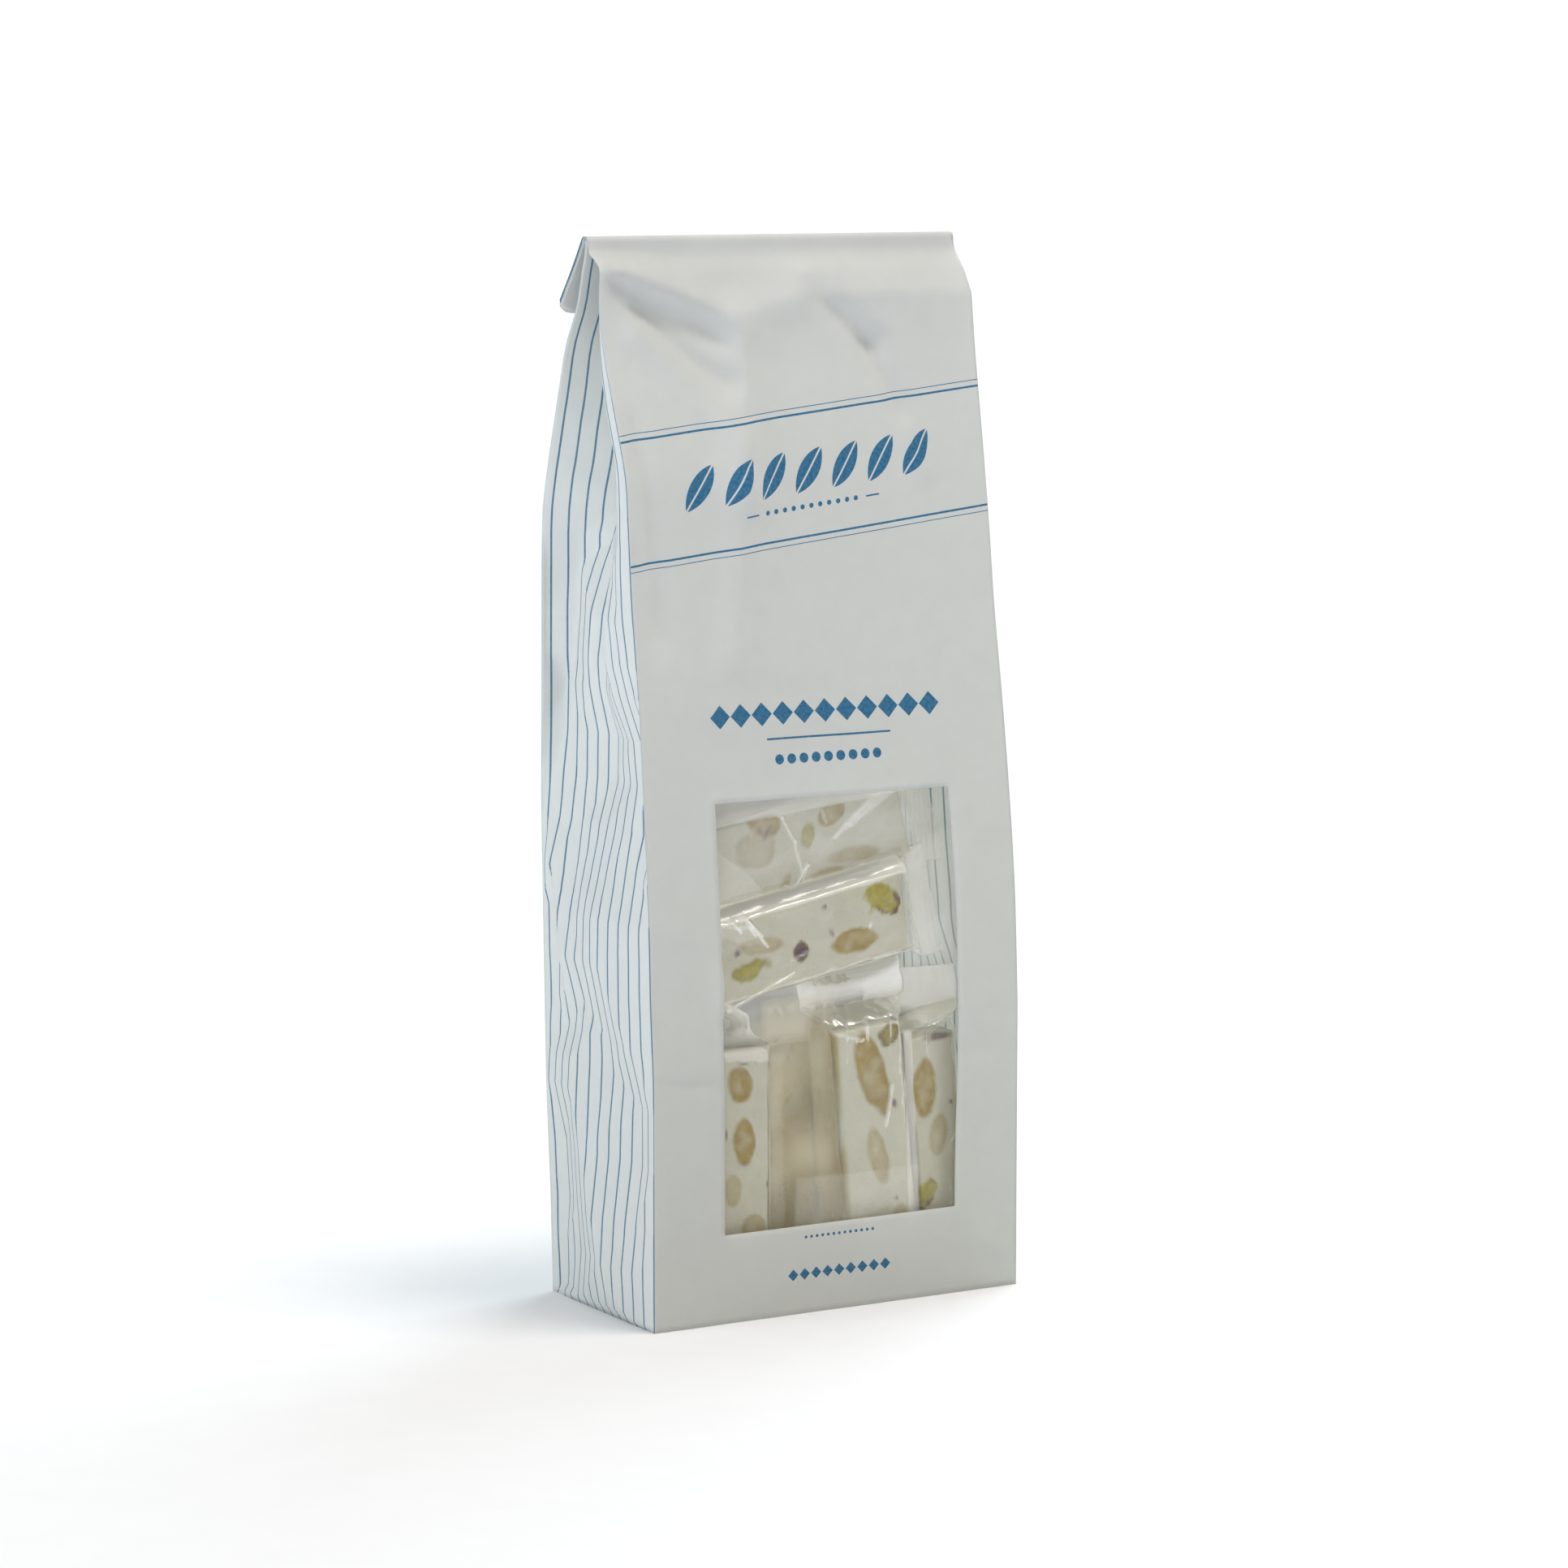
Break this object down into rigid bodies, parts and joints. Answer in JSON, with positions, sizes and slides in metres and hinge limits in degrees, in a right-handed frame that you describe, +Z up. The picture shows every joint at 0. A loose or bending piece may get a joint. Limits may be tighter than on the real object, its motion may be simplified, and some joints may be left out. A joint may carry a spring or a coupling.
{
  "type": "bag of wrapped nougat bars",
  "caption": "White paper gusset bag, its mouth folded over behind, with a clear window in front that shows film-wrapped bars of nougat with almonds and pistachios.",
  "frame": {"origin": "centre of the base's rectangle, on its underside", "axes": "+Z up along the bag, +X to the right along the base's width as seen from the front, +Y from the front with the window to the back with the folded flap"},
  "size_m": [0.0884, 0.0475, 0.215],
  "materials": {
    "paper": "matte",
    "window_film": "gloss",
    "wrapped_nougat": "gloss"
  },
  "bodies": {
    "root": {"paper_bag": "paper", "window_film": "window_film", "wrapped_bar_front_left": "wrapped_nougat", "wrapped_bar_front_mid_left": "wrapped_nougat", "wrapped_bar_front_mid_right": "wrapped_nougat", "wrapped_bar_front_right": "wrapped_nougat", "wrapped_bar_back_left": "wrapped_nougat", "wrapped_bar_back_mid_left": "wrapped_nougat", "wrapped_bar_back_mid_right": "wrapped_nougat", "wrapped_bar_back_right": "wrapped_nougat", "wrapped_bar_upper_front": "wrapped_nougat", "wrapped_bar_upper_back": "wrapped_nougat", "wrapped_bar_top_front": "wrapped_nougat", "wrapped_bar_top_back": "wrapped_nougat"}
  },
  "joints": []
}
